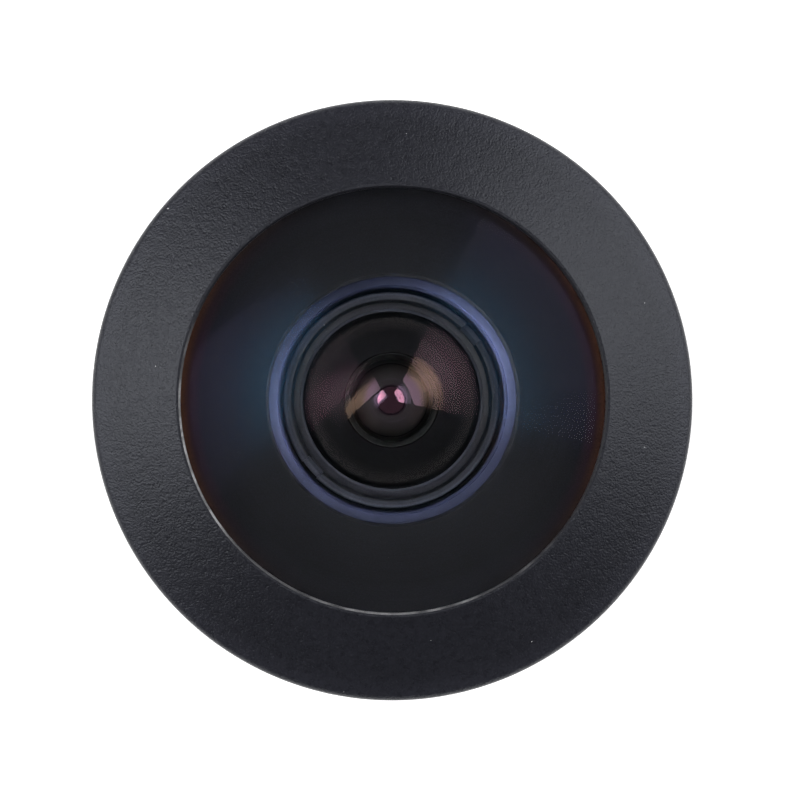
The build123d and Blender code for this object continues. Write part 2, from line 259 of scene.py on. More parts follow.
class Outline:
    """Outline in the XZ plane, drawn from one vertex and then spun about the optical axis."""

    def __init__(self, name, radius, height):
        deselect()
        bpy.ops.mesh.primitive_circle_add(vertices=3, radius=MM, location=(0, 0, 0))
        self.piece = open_new(name)
        bpy.ops.mesh.merge(type="CENTER")
        bpy.ops.transform.translate(value=(radius, 0, height))
        self.start = self.pen = (radius, height)

    def line(self, radius, height):
        """Straight run to a radius and a level."""
        step = (radius - self.pen[0], 0, height - self.pen[1])
        if math.hypot(*step) >= MERGE:
            bpy.ops.mesh.extrude_vertices_move(TRANSFORM_OT_translate={"value": step})
            self.pen = (radius, height)

    def path(self, *points):
        """Straight runs from point to point, each a radius and a level."""
        for point in points:
            self.line(*point)

    def arc(self, radius, height, centre, steps):
        """Round run about a centre to a radius and a level."""
        before = math.atan2(self.pen[0] - centre[0], self.pen[1] - centre[1])
        after = math.atan2(radius - centre[0], height - centre[1])
        turn = (after - before + math.pi) % (2 * math.pi) - math.pi
        bpy.ops.mesh.spin(steps=steps, angle=-turn, center=(centre[0], 0, centre[1]), axis=(0, 1, 0))
        swing = math.hypot(self.pen[0] - centre[0], self.pen[1] - centre[1])
        self.pen = (centre[0] + swing * math.sin(after), centre[1] + swing * math.cos(after))
        self.line(radius, height)

    def bend(self, radius, height, edge, side):
        """Run up to a corner and round it, outwards where side is 1 and inwards where it is -1."""
        centre = (radius + side * edge, height - edge)
        self.line(radius, centre[1])
        self.arc(centre[0], height, centre, 4)

    def spin(self, steps=256):
        """Close the outline, unless it ends on the axis, and turn it once about the axis."""
        if max(self.pen[0], self.start[0]) > MERGE:
            self.line(*self.start)
        bpy.ops.mesh.select_all(action="SELECT")
        bpy.ops.mesh.remove_doubles(threshold=MERGE)
        bpy.ops.mesh.spin(steps=steps, angle=2 * math.pi, center=(0, 0, 0), axis=(0, 0, 1))
        return seal(self.piece)


def seal(piece):
    """Merge doubled points, point the faces outwards and leave edit mode."""
    if piece.mode != "EDIT":
        choose(piece)
        bpy.ops.object.mode_set(mode="EDIT")
    bpy.ops.mesh.select_all(action="SELECT")
    bpy.ops.mesh.remove_doubles(threshold=MERGE)
    bpy.ops.mesh.normals_make_consistent(inside=False)
    bpy.ops.object.mode_set(mode="OBJECT")
    return piece


def washer(name, bore, outer, low, high, edge, steps):
    """Ring with a square section and bevelled edges."""
    outline = Outline(name, bore, low + edge)
    outline.path(
        (bore + edge, low), (outer - edge, low), (outer, low + edge), (outer, high - edge),
        (outer - edge, high), (bore + edge, high), (bore, high - edge),
    )
    return outline.spin(steps=steps)


def block(name, size, place):
    """Box of three sizes round a place, left in edit mode with all of it selected."""
    deselect()
    bpy.ops.mesh.primitive_cube_add(size=1, location=(0, 0, 0))
    piece = open_new(name)
    bpy.ops.transform.resize(value=size)
    bpy.ops.transform.translate(value=place)
    return piece


def pick_edges(piece, wanted):
    """Select in edit mode the edges whose two ends pass a test."""
    bpy.ops.mesh.select_mode(type="EDGE")
    bpy.ops.mesh.select_all(action="DESELECT")
    bpy.ops.object.mode_set(mode="OBJECT")
    for edge in piece.data.edges:
        edge.select = wanted(*(piece.data.vertices[index].co for index in edge.vertices))
    bpy.ops.object.mode_set(mode="EDIT")


def repeat_round(count):
    """Copy what is selected in edit mode about the optical axis."""
    turn = 2 * math.pi * (count - 1) / count
    bpy.ops.mesh.spin(steps=count - 1, angle=turn, dupli=True, center=(0, 0, 0), axis=(0, 0, 1))


def carve(piece, tool):
    """Cut a tool's shape out of a piece and remove the tool."""
    choose(piece)
    cut = piece.modifiers.new("Carve", "BOOLEAN")
    cut.operation = "DIFFERENCE"
    cut.solver = "EXACT"
    cut.object = tool
    bpy.ops.object.modifier_apply(modifier=cut.name)
    bpy.data.objects.remove(tool)


def deliver(piece, nodes, finishes, body=LENS, smooth=12.0):
    """Finish a piece: shading, finishes by name, the nodes it stands for and the body that carries it."""
    choose(piece)
    bpy.ops.object.shade_smooth_by_angle(angle=math.radians(smooth))
    piece.data.materials.clear()
    for name in finishes:
        piece.data.materials.append(bpy.data.materials[name])
    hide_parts(*nodes)
    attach(piece, body)


def coat_faces(piece, front, rear, edge=math.inf):
    """Coatings inside a front and a rear radius, paint outside the edge and ink on the rest."""
    front_coating, rear_coating, ink, outside = range(4)
    for face in piece.data.polygons:
        radius = math.hypot(face.center.x, face.center.y)
        face.material_index = ink
        if radius > edge:
            face.material_index = outside
        elif face.normal.z > 0 and radius < front:
            face.material_index = front_coating
        elif face.normal.z < 0 and radius < rear:
            face.material_index = rear_coating


def paint(piece, wanted):
    """Second finish on the faces whose distance from the axis and level pass a test."""
    for face in piece.data.polygons:
        if wanted(math.hypot(face.center.x, face.center.y), face.center.z):
            face.material_index = 1


def new_group(name, inputs, outputs):
    """Empty shader node group with named sockets; returns the group and its two end nodes."""
    group = bpy.data.node_groups.new(name, "ShaderNodeTree")
    for label, kind, value in inputs:
        group.interface.new_socket(label, in_out="INPUT", socket_type=kind).default_value = value
    for label, kind in outputs:
        group.interface.new_socket(label, in_out="OUTPUT", socket_type=kind)
    return group, group.nodes.new("NodeGroupInput"), group.nodes.new("NodeGroupOutput")


def fill(tree, node, inputs):
    """Give a node its inputs, each a value or another node's socket."""
    for key, value in inputs.items():
        socket = node.inputs[key]
        if isinstance(value, bpy.types.NodeSocket):
            tree.links.new(value, socket)
        else:
            socket.default_value = value


def add(tree, kind, inputs=None, **settings):
    """New node with its settings and its inputs."""
    node = tree.nodes.new(kind)
    for name, value in settings.items():
        setattr(node, name, value)
    fill(tree, node, inputs or {})
    return node


def maths(tree, operation, first, second=0.0, third=0.0, clamp=False):
    """Output of one Math node."""
    inputs = {0: first, 1: second, 2: third}
    return add(tree, "ShaderNodeMath", inputs, operation=operation, use_clamp=clamp).outputs[0]


def vector_maths(tree, operation, first, second=(0, 0, 0), output="Vector"):
    """Output of one Vector Math node."""
    inputs = {0: first, 1: second}
    return add(tree, "ShaderNodeVectorMath", inputs, operation=operation).outputs[output]


def noise(tree, place, scale, detail):
    """Output of one Noise node."""
    return add(tree, "ShaderNodeTexNoise", {"Vector": place, "Scale": scale, "Detail": detail}).outputs["Fac"]


def remap(tree, value, low, high, low_value, high_value):
    """Output of one Map Range node."""
    limits = {"Value": value, "From Min": low, "From Max": high, "To Min": low_value, "To Max": high_value}
    return add(tree, "ShaderNodeMapRange", limits).outputs["Result"]


def position(tree):
    """Where a point is on its piece."""
    return add(tree, "ShaderNodeTexCoord").outputs["Object"]


def axes(tree):
    """A point's position as X, Y and Z."""
    return add(tree, "ShaderNodeSeparateXYZ", {0: position(tree)}).outputs


def blend(tree, amount, first, second):
    """Output of one colour Mix node."""
    return add(tree, "ShaderNodeMix", {0: amount, 6: first, 7: second}, data_type="RGBA").outputs[2]


def rgba(rgb, scale=1.0):
    """Colour with an alpha, brightened or darkened."""
    return (rgb[0] * scale, rgb[1] * scale, rgb[2] * scale, 1.0)


def make_grain_group():
    """Bead-blasted and anodised grain with a few bright specks where the blasting went through."""
    group, source, sink = new_group(
        "Anodised grain",
        (
            ("Colour", "NodeSocketColor", (0.05, 0.05, 0.06, 1)),
            ("Speck colour", "NodeSocketColor", (0.6, 0.6, 0.6, 1)),
            ("Grain size", "NodeSocketFloat", 0.05),
            ("Specks", "NodeSocketFloat", 0.3),
            ("Roughness", "NodeSocketFloat", 0.5),
        ),
        (
            ("Colour", "NodeSocketColor"),
            ("Roughness", "NodeSocketFloat"),
            ("Height", "NodeSocketFloat"),
        ),
    )
    place = position(group)
    # One unit of the pattern is the grain size in millimetres
    per_metre = maths(group, "DIVIDE", 1 / MM, source.outputs["Grain size"])
    fine = noise(group, place, per_metre, 3.0)
    coarse = noise(group, place, maths(group, "MULTIPLY", per_metre, 0.28), 2.0)
    cloud = noise(group, place, 0.45 / MM, 3.0)
    tone = maths(group, "MULTIPLY_ADD", fine, 0.9, 0.30)
    tone = maths(group, "MULTIPLY", tone, maths(group, "MULTIPLY_ADD", coarse, 0.5, 0.85))
    tone = maths(group, "MULTIPLY", tone, maths(group, "MULTIPLY_ADD", cloud, 0.3, 0.85))
    shade = scaled(group, source.outputs["Colour"], tone)
    cells = add(group, "ShaderNodeTexVoronoi", {"Vector": place, "Scale": 2.4 / MM, "Randomness": 1.0})
    spot = maths(group, "LESS_THAN", cells.outputs["Distance"], 0.05)
    chance = add(group, "ShaderNodeSeparateColor", {"Color": cells.outputs["Color"]}).outputs["Red"]
    rare = maths(group, "LESS_THAN", chance, maths(group, "MULTIPLY", source.outputs["Specks"], 0.12))
    speck = maths(group, "MULTIPLY", spot, rare)
    colour_out = blend(group, speck, shade, source.outputs["Speck colour"])
    rough = maths(group, "MULTIPLY_ADD", coarse, 0.16, source.outputs["Roughness"])
    height = maths(group, "MULTIPLY_ADD", coarse, 0.6, fine)
    rough = maths(group, "SUBTRACT", rough, 0.08, clamp=True)
    fill(group, sink, {"Colour": colour_out, "Roughness": rough, "Height": height})


def axis_distance(tree):
    """Distance of a point from the optical axis, in metres."""
    parts = axes(tree)
    squares = maths(tree, "MULTIPLY", parts["X"], parts["X"])
    return maths(tree, "SQRT", maths(tree, "MULTIPLY_ADD", parts["Y"], parts["Y"], squares))


def make_lathe_group():
    """Fine turning lines about the optical axis."""
    group, source, sink = new_group(
        "Turning lines",
        (("Line width", "NodeSocketFloat", 0.04), ("Strength", "NodeSocketFloat", 0.3)),
        (("Tone", "NodeSocketFloat"), ("Height", "NodeSocketFloat")),
    )
    along = add(group, "ShaderNodeCombineXYZ", {"X": axis_distance(group), "Y": axes(group)["Z"]}).outputs[0]
    per_metre = maths(group, "DIVIDE", 1 / MM, source.outputs["Line width"])
    lines = noise(group, along, per_metre, 2.0)
    swing = maths(group, "MULTIPLY", maths(group, "SUBTRACT", lines, 0.5), source.outputs["Strength"])
    fill(group, sink, {"Tone": maths(group, "ADD", swing, 1.0), "Height": lines})


def shader(name):
    """New material with a Principled shader; returns the material, its tree and the shader."""
    material = bpy.data.materials.new(name)
    material.use_nodes = True
    return material, material.node_tree, material.node_tree.nodes["Principled BSDF"]


def anodised_metal(name, rgb, grain_size, specks, roughness, bump, lathe=0.0, gloss=0.5):
    """Black anodised aluminium with grain, and with turning lines where lathe is above 0."""
    material, tree, surface = shader(name)
    bright = rgba(bpy.context.scene.lens_finish.bare_metal_and_highlight)
    inputs = {
        "Colour": rgba(rgb), "Speck colour": bright, "Grain size": grain_size, "Specks": specks,
        "Roughness": roughness,
    }
    grain = add(tree, "ShaderNodeGroup", inputs, node_tree=bpy.data.node_groups["Anodised grain"])
    shade, height = grain.outputs["Colour"], grain.outputs["Height"]
    if lathe:
        turning = bpy.data.node_groups["Turning lines"]
        lines = add(tree, "ShaderNodeGroup", {"Strength": lathe}, node_tree=turning)
        shade = scaled(tree, shade, lines.outputs["Tone"])
        height = maths(tree, "MULTIPLY_ADD", lines.outputs["Height"], 2 * lathe, height)
    relief = add(tree, "ShaderNodeBump", {"Height": height, "Strength": bump, "Distance": 0.03 * MM})
    finished = {
        "Base Color": shade, "Roughness": grain.outputs["Roughness"], "Normal": relief.outputs["Normal"],
        "Specular IOR Level": gloss, "IOR": 1.6,
    }
    fill(tree, surface, finished)
    return material


def coated_glass(name, index, coating, tint=(1.0, 1.0, 1.0)):
    """Polished glass; the coating colours what little light it reflects."""
    tree, surface = shader(name)[1:]
    fill(tree, surface, {
        "Base Color": rgba(tint), "Roughness": 0.0, "Transmission Weight": 1.0, "IOR": index,
        "Specular Tint": rgba(coating),
    })


def by_radius(tree, stops):
    """Colour that changes with the distance from the axis; each stop is millimetres and a colour."""
    widest = 10.0
    node = add(tree, "ShaderNodeValToRGB", {0: maths(tree, "DIVIDE", axis_distance(tree), widest * MM)})
    elements = node.color_ramp.elements
    elements[1].position, elements[1].color = stops[-1][0] / widest, rgba(stops[-1][1])
    elements[0].position, elements[0].color = stops[0][0] / widest, rgba(stops[0][1])
    for place, rgb in stops[1:-1]:
        elements.new(place / widest).color = rgba(rgb)
    return node.outputs["Color"]


def around(tree, start, lobes):
    """Factor that changes round the axis; each lobe is an azimuth in degrees, a power and a height."""
    ray = vector_maths(tree, "NORMALIZE", vector_maths(tree, "MULTIPLY", position(tree), (1, 1, 0)))
    total = start
    for azimuth, power, height in lobes:
        side = towards(math.radians(azimuth), math.pi / 2)
        cosine = vector_maths(tree, "DOT_PRODUCT", ray, side, "Value")
        lobe = maths(tree, "POWER", maths(tree, "MAXIMUM", cosine, 0.0), power)
        total = maths(tree, "MULTIPLY_ADD", lobe, height, total)
    return total


def scaled(tree, rgb, amount):
    """Colour times a factor, where either may be a socket."""
    return add(tree, "ShaderNodeVectorMath", {0: rgb, "Scale": amount}, operation="SCALE").outputs[0]


def patches(tree, least=0.3, most=1.0, fineness=1.3):
    """Uneven runs of a noise pattern; fineness is how many go on a millimetre."""
    return remap(tree, noise(tree, position(tree), fineness / MM, 3.0), 0.42, 0.6, least, most)


def by_level(tree, low, low_value, high, high_value):
    """Factor that changes with the height of a point."""
    return remap(tree, axes(tree)["Z"], low, high, low_value, high_value)


def below_line(tree, slope, rise):
    """1 below a slanting line across the axis's plane and 0 above it; rise is in millimetres."""
    parts = axes(tree)
    above = maths(tree, "MULTIPLY_ADD", parts["X"], -slope, parts["Y"])
    # The line is soft over a quarter of a millimetre
    softness = 0.25
    return maths(tree, "MULTIPLY_ADD", above, -1 / (softness * MM), rise / softness, clamp=True)


def reflect(tree, colour_out):
    """Let a coating's reflected colour change over the glass."""
    tree.links.new(colour_out, tree.nodes["Principled BSDF"].inputs["Specular Tint"])


def soft_reflection(tree, index, roughness, colour_out):
    """Show the lamps in a coating as patches with soft edges, in a colour that changes over the glass."""
    surface = tree.nodes["Principled BSDF"]
    surface.inputs["Specular Tint"].default_value = (0, 0, 0, 1)
    bare_glass = ((index - 1) / (index + 1)) ** 2
    # A small share of the surface that reflects more leaves the glass behind it clear
    share = 0.02
    sheen = {"Color": scaled(tree, colour_out, bare_glass / share), "Roughness": roughness}
    layer = add(tree, "ShaderNodeBsdfAnisotropic", sheen).outputs["BSDF"]
    both = {"Fac": share, 1: surface.outputs["BSDF"], 2: layer}
    shown = add(tree, "ShaderNodeMixShader", both).outputs["Shader"]
    tree.links.new(shown, tree.nodes["Material Output"].inputs["Surface"])


def recolour(material, colour_out):
    """Give the colour under the grain of a black finish from another node."""
    tree = material.node_tree
    grain = next(node for node in tree.nodes if node.type == "GROUP" and "Grain size" in node.inputs)
    tree.links.new(colour_out, grain.inputs["Colour"])


def flat_black(name, rgb, roughness, grain_size=0.05, gloss=0.5):
    """Matte black of films, spacers and ink, with a fine uneven tone."""
    return anodised_metal(name, rgb, grain_size, 0.0, roughness, 0.07, lathe=0.35, gloss=gloss)


def make_metals(finish):
    """Metals, blacks, inks and the adhesive, by their names."""
    front_ring = anodised_metal("Anodised front ring", finish.anodised, 0.07, 1.0, 0.29, 0.8, gloss=0.22)
    anodised_metal("Anodised barrel", finish.barrel_black, 0.05, 0.15, 0.40, 0.1, lathe=0.25)
    anodised_metal("Anodised lock ring", finish.barrel_black, 0.05, 0.15, 0.38, 0.1, lathe=0.4)
    oxide = anodised_metal(
        "Black oxide ring", finish.inner_black, 0.04, 0.3, 0.40, 0.1, lathe=0.4, gloss=0.22
    )
    flat_black("Seal rubber", (0.018, 0.018, 0.020), 0.6)
    flat_black("Mask film", (0.012, 0.012, 0.013), 0.55)
    flat_black("Spacer black", rgba(finish.inner_black, 1.8), 0.5)
    flat_black("Stop metal", (0.014, 0.014, 0.016), 0.45)
    flat_black("Bore black", finish.bore_black, 0.6, gloss=0.15)
    flat_black("Glass ink", finish.ink, 0.6, gloss=0.15)
    flat_black("Edge paint", finish.edge_paint, 0.6, gloss=0.15)
    tree = front_ring.node_tree
    # Painted highlight: the ring's colour is made 1.4 times brighter towards its rounded rim, where the
    # rounding catches the lamps
    recolour(front_ring, by_radius(tree, ((9.2, finish.anodised), (9.75, rgba(finish.anodised, 1.4)))))
    tree.nodes["Principled BSDF"].inputs["Specular Tint"].default_value = (0.88, 0.92, 1.0, 1)

    # Black ink on the rear flat, with painted light on it: it is painted brighter towards the rim, and on the
    # lamps' sides (azimuths 8° and 178°) red and gold bands are a painted reflection of the lamps
    rim_ink_and_painted_light = flat_black("Rim ink and painted light", finish.ink, 0.6, gloss=0.15)
    tree = rim_ink_and_painted_light.node_tree
    plain = by_radius(tree, ((5.8, rgba(finish.ink, 1.15)), (6.9, rgba(finish.ink, 2.0))))
    painted_reflection = by_radius(tree, ((6.1, finish.ink), (6.5, finish.rim_painted_red), (6.75, finish.rim_painted_gold)))
    recolour(rim_ink_and_painted_light, blend(tree, around(tree, 0.0, ((8, 4, 1.0), (178, 4, 1.0))), plain, painted_reflection))

    tree = oxide.node_tree
    crest, floor = finish.oxide_crest_painted_light, finish.oxide_floor
    # Painted light on the inner ring: the bright lines at the bore's lip and at the crest's outer edge are
    # painted highlights, the crest's lighter band is painted light on a lit face, and it is darker at the
    # step between the groove and the crest
    steps = (
        (3.34, rgba(crest, 1.4)), (3.42, rgba(crest, 1.4)), (3.47, floor), (3.60, floor),
        (3.70, finish.inner_black), (3.76, crest), (3.85, crest), (3.89, rgba(crest, 2.2)),
    )
    # Painted shade: the ring is darker on the lamps' sides, round azimuths 165° and 20°
    painted_shade = around(tree, 1.0, ((165, 6, -0.45), (20, 3, -0.40)))
    recolour(oxide, scaled(tree, by_radius(tree, steps), painted_shade))

    # The lip's sharp edge gets a painted highlight on its left and its lower side, in short runs
    highlit = anodised_metal("Painted lip highlight", finish.anodised, 0.05, 0.0, 0.42, 0.2, gloss=0.12)
    tree = highlit.node_tree
    runs = maths(tree, "MULTIPLY", around(tree, 0.0, ((196, 14, 1.9), (275, 6, 0.7))), patches(tree))
    recolour(highlit, blend(tree, runs, rgba(finish.anodised, 0.8), rgba(finish.bare_metal_and_highlight, 0.5)))

    # Painted glow: the ground edge's colour is made brightest on the lamps' sides (azimuths 30° and 180°),
    # darker round azimuth 105° and brighter towards its top, in place of the lamps' light that gets into the
    # glass; the patches add an uneven tone
    ground = anodised_metal("Ground edge", finish.ground_edge, 0.04, 0.0, 0.6, 0.1)
    tree = ground.node_tree
    sides = around(tree, 0.95, ((30, 4, 2.0), (180, 4, 0.9), (105, 2, -0.3)))
    upwards = by_level(tree, base("front_element"), 0.5, top("front_seal"), 1.4)
    mottle_and_painted_rise = maths(tree, "MULTIPLY", patches(tree, 0.75, 1.2, 4.0), upwards)
    recolour(ground, scaled(tree, scaled(tree, finish.ground_edge, sides), mottle_and_painted_rise))

    tree, cured = shader("Cured adhesive")[1:]
    fill(tree, cured, {
        "Base Color": (0.62, 0.60, 0.52, 1), "Roughness": 0.18, "Subsurface Weight": 0.3,
        "Subsurface Radius": (0.0004, 0.0004, 0.0003),
    })


def make_glass(coating):
    """Coatings of the elements and the filter's glass, by their names."""
    for name, index, reflected in (
        ("Dome", 1.62, coating.dome_middle),
        ("Hollow", 1.62, coating.hollow_middle),
        ("Second front", 1.54, coating.second_front),
        ("Bowl", 1.54, coating.bowl),
        ("Third front", 1.85, coating.third_front),
        ("Third rear", 1.85, coating.third_rear),
        ("Fourth front", 1.62, coating.fourth_front),
        ("Fourth rear", 1.62, coating.inner),
        ("Fifth front", 1.92, coating.inner),
        ("Fifth rear", 1.92, coating.inner),
        ("Sixth front", 1.69, coating.inner),
        ("Sixth rear", 1.69, coating.inner),
    ):
        coated_glass(f"{name} coating", index, reflected)
    coated_glass("Filter glass", 1.517, (0.9, 0.3, 0.35), (0.80, 0.95, 0.97))
    tree = bpy.data.materials["Dome coating"].node_tree
    zones = (
        (2.95, coating.dome_centre), (3.7, coating.dome_middle), (4.35, coating.dome_middle),
        (5.2, coating.dome_shoulder), (6.3, coating.dome_outer),
    )
    soft_reflection(tree, 1.62, 0.18, by_radius(tree, zones))

    # Where the lamps show in the hollow and in the glass behind it, down to a slanting line
    tree = bpy.data.materials["Hollow coating"].node_tree
    unlit, middle, outer = (0.0, 0.0, 0.0), coating.hollow_middle, coating.hollow_outer
    spot = by_radius(tree, ((0.80, coating.hollow_centre), (1.0, unlit)))
    zone = by_radius(tree, ((0.80, unlit), (0.95, middle), (1.53, middle), (1.62, outer)))
    lit = scaled(tree, zone, around(tree, 0.1, ((30, 7, 1.0), (183, 4, 0.55))))
    cut = blend(tree, below_line(tree, 1.08, 1.60), rgba(outer), lit)
    reflect(tree, vector_maths(tree, "ADD", spot, cut))

    tree = bpy.data.materials["Second front coating"].node_tree
    zone = by_radius(tree, ((2.6, coating.second_front), (3.2, rgba(coating.second_front, 0.45))))
    lit = scaled(tree, zone, around(tree, 0.1, ((30, 5, 1.0), (178, 4, 0.55))))
    reflect(tree, blend(tree, below_line(tree, 0.8, 2.94), rgba(outer), lit))


class MakeFinishes(bpy.types.Operator):
    """Build the materials of the lens"""

    bl_idname = "board_lens.finishes"
    bl_label = "Finishes"

    def execute(self, context):
        make_grain_group()
        make_lathe_group()
        make_metals(context.scene.lens_finish)
        make_glass(context.scene.lens_coating)
        return {"FINISHED"}


def thread_cutter(body):
    """Helical groove tool: a trapezoid swept round the axis with the Screw modifier."""
    half_root = body.thread_pitch / 16
    proud, flank = 0.03 * MM, math.radians(29.5)
    root, mouth = body.thread_crest - body.thread_depth, body.thread_crest + proud
    half_mouth = half_root + (body.thread_depth + proud) * math.tan(flank)
    tool = Outline("thread_cutter", root, -half_root)
    tool.path((mouth, -half_mouth), (mouth, half_mouth), (root, half_root), (root, -half_root))
    bpy.ops.mesh.select_all(action="SELECT")
    bpy.ops.mesh.remove_doubles(threshold=MERGE)
    bpy.ops.transform.translate(value=(0, 0, -body.thread_pitch))
    bpy.ops.object.mode_set(mode="OBJECT")
    helix = tool.piece.modifiers.new("Helix", "SCREW")
    helix.axis = "Z"
    helix.steps = helix.render_steps = 96
    helix.screw_offset = body.thread_pitch
    helix.iterations = int((body.thread_top + 1.4 * body.thread_pitch) / body.thread_pitch)
    helix.use_merge_vertices = True
    helix.merge_threshold = MERGE
    bpy.ops.object.modifier_apply(modifier=helix.name)
    bpy.ops.object.mode_set(mode="EDIT")
    bpy.ops.mesh.select_all(action="DESELECT")
    bpy.ops.mesh.select_mode(type="EDGE")
    bpy.ops.mesh.select_non_manifold()
    bpy.ops.mesh.fill()
    bpy.ops.mesh.select_mode(type="VERT")
    return seal(tool.piece)


class MakeBarrel(bpy.types.Operator):
    """Turn the barrel, cut its thread and bore it in steps"""

    bl_idname = "board_lens.barrel"
    bl_label = "Barrel"

    def execute(self, context):
        body = context.scene.lens_body
        edge = 0.1 * MM
        rim, crown, seat = reach("barrel"), top("barrel"), base("front_element")
        shelf, mask = base("inner_ring") - 1.5 * edge, top("front_shield") - 4 * edge
        stop, floor = base("aperture_stop"), top("infrared_filter")
        ledge = floor + context.scene.lens_glass.ledge_thickness
        outline = Outline("turned_barrel", body.recess_radius + edge, 0)
        outline.path(
            (body.thread_crest - body.thread_start, 0), (body.thread_crest, body.thread_start),
            (body.thread_crest, body.thread_top),
            (body.neck_radius, body.thread_top + body.thread_crest - body.neck_radius),
        )
        outline.bend(body.neck_radius, body.flange_base, edge, 1)
        outline.path((rim - body.flange_bevel, body.flange_base), (rim, body.flange_base + body.flange_bevel))
        outline.bend(rim, body.flange_top, edge, -1)
        outline.path((body.cup_radius, body.flange_top))
        outline.bend(body.cup_radius, crown, edge, -1)
        outline.path(
            (body.pocket_radius, crown), (body.pocket_radius, seat), (body.ring_bore + edge, seat),
            (body.ring_bore, seat - edge), (body.ring_bore, shelf), (body.second_bore, shelf),
            (body.second_bore, mask), (body.main_bore, mask), (body.main_bore, stop), (body.rear_bore, stop),
            (body.rear_bore, ledge), (body.ledge_radius, ledge), (body.ledge_radius, floor),
            (body.recess_radius, floor), (body.recess_radius, edge),
        )
        piece = outline.spin(steps=192)
        carve(piece, thread_cutter(body))
        deliver(seal(piece), ["barrel"], ["Anodised barrel", "Bore black"], smooth=25.0)
        bore = body.pocket_radius + MERGE
        paint(piece, lambda radius, level: radius < bore and level > floor + MERGE)
        return {"FINISHED"}


class MakeFrontRing(bpy.types.Operator):
    """Turn the conical front ring with its rounded rim and thin lip"""

    bl_idname = "board_lens.front_ring"
    bl_label = "Front ring"

    def execute(self, context):
        body = context.scene.lens_body
        glass = context.scene.lens_glass
        foot, lip_top, rim = span("front_ring")
        small, play, thread_end = 0.2 * MM, 0.02 * MM, 0.1 * MM
        slope = body.ring_slope
        cone_inner = body.lip_radius + body.lip_bevel
        dome_centre = top("front_element") - glass.dome_radius
        under_lip = dome_centre + math.sqrt(glass.dome_radius**2 - body.lip_radius**2) + play
        # The rounding is tangent to the cone and to the outer wall
        corner = lip_top - (rim - cone_inner) * math.tan(slope)
        run = body.rim_round * math.tan(math.radians(45) - slope / 2)
        centre = (rim - body.rim_round, corner - run)
        outline = Outline("turned_front_ring", body.head_bore + small, foot)
        outline.path((rim - small, foot), (rim, foot + small), (rim, centre[1]))
        turned = (centre[0] + body.rim_round * math.sin(slope), centre[1] + body.rim_round * math.cos(slope))
        outline.arc(*turned, centre, 10)
        land = body.lip_radius + body.lip_edge
        seal_top, seal_side = top("front_seal") + play, reach("front_seal") + play
        crown = top("barrel") + thread_end
        outline.path(
            (cone_inner, lip_top), (land, lip_top), (body.lip_radius, lip_top - 0.6 * body.lip_edge),
            (body.lip_radius, under_lip), (body.pocket_radius, seal_top), (seal_side, seal_top),
            (seal_side, crown), (body.head_bore, crown), (body.head_bore, foot + small),
        )
        piece = outline.spin(steps=320)
        deliver(piece, ["front_ring"], ["Anodised front ring", "Painted lip highlight"])
        # The bevel at the lip's inner edge takes the painted highlight
        paint(piece, lambda radius, level: radius < land and level > lip_top - body.lip_edge)
        return {"FINISHED"}


class MakeFrontElement(bpy.types.Operator):
    """Turn the domed front glass with its hollow and ground edge"""

    bl_idname = "board_lens.front_element"
    bl_label = "Front element"

    def execute(self, context):
        glass = context.scene.lens_glass
        apex, seat, rim = top("front_element"), base("front_element") + glass.seat_gap, reach("front_element")
        bevel = glass.glass_bevel
        dome_centre = (0, apex - glass.dome_radius)
        dome_edge = apex - sag(glass.dome_radius, rim - bevel)
        hollow_apex = apex - glass.front_centre
        hollow_centre = (0, hollow_apex - glass.hollow_radius)
        mouth = math.sqrt(glass.hollow_radius**2 - (seat - hollow_centre[1]) ** 2)
        outline = Outline("ground_front_element", 0, apex)
        outline.arc(rim - bevel, dome_edge, dome_centre, 64)
        outline.path((rim, dome_edge - bevel), (rim, seat + bevel), (rim - bevel, seat), (mouth, seat))
        outline.arc(0, hollow_apex, hollow_centre, 64)
        piece = outline.spin(steps=320)
        finishes = ("Dome coating", "Hollow coating", "Rim ink and painted light", "Ground edge")
        deliver(piece, ["front_element"], finishes, smooth=8.0)
        coat_faces(piece, rim - bevel, mouth, rim - bevel)
        return {"FINISHED"}


class MakeFrontSeal(bpy.types.Operator):
    """Make the rubber ring that seals the front glass against its cup"""

    bl_idname = "board_lens.front_seal"
    bl_label = "Front seal"

    def execute(self, context):
        low, high, outer = span("front_seal")
        squeeze = 1.1
        section = (high - low) / 2 * squeeze
        deselect()
        bpy.ops.mesh.primitive_torus_add(
            major_segments=192, minor_segments=20, major_radius=outer - section, minor_radius=section
        )
        piece = open_new("moulded_front_seal")
        # Squeezed flat between the cup and the front ring
        bpy.ops.transform.resize(value=(1, 1, 1 / squeeze))
        bpy.ops.transform.translate(value=(0, 0, (low + high) / 2))
        deliver(seal(piece), ["front_seal"], ["Seal rubber"], smooth=40.0)
        return {"FINISHED"}


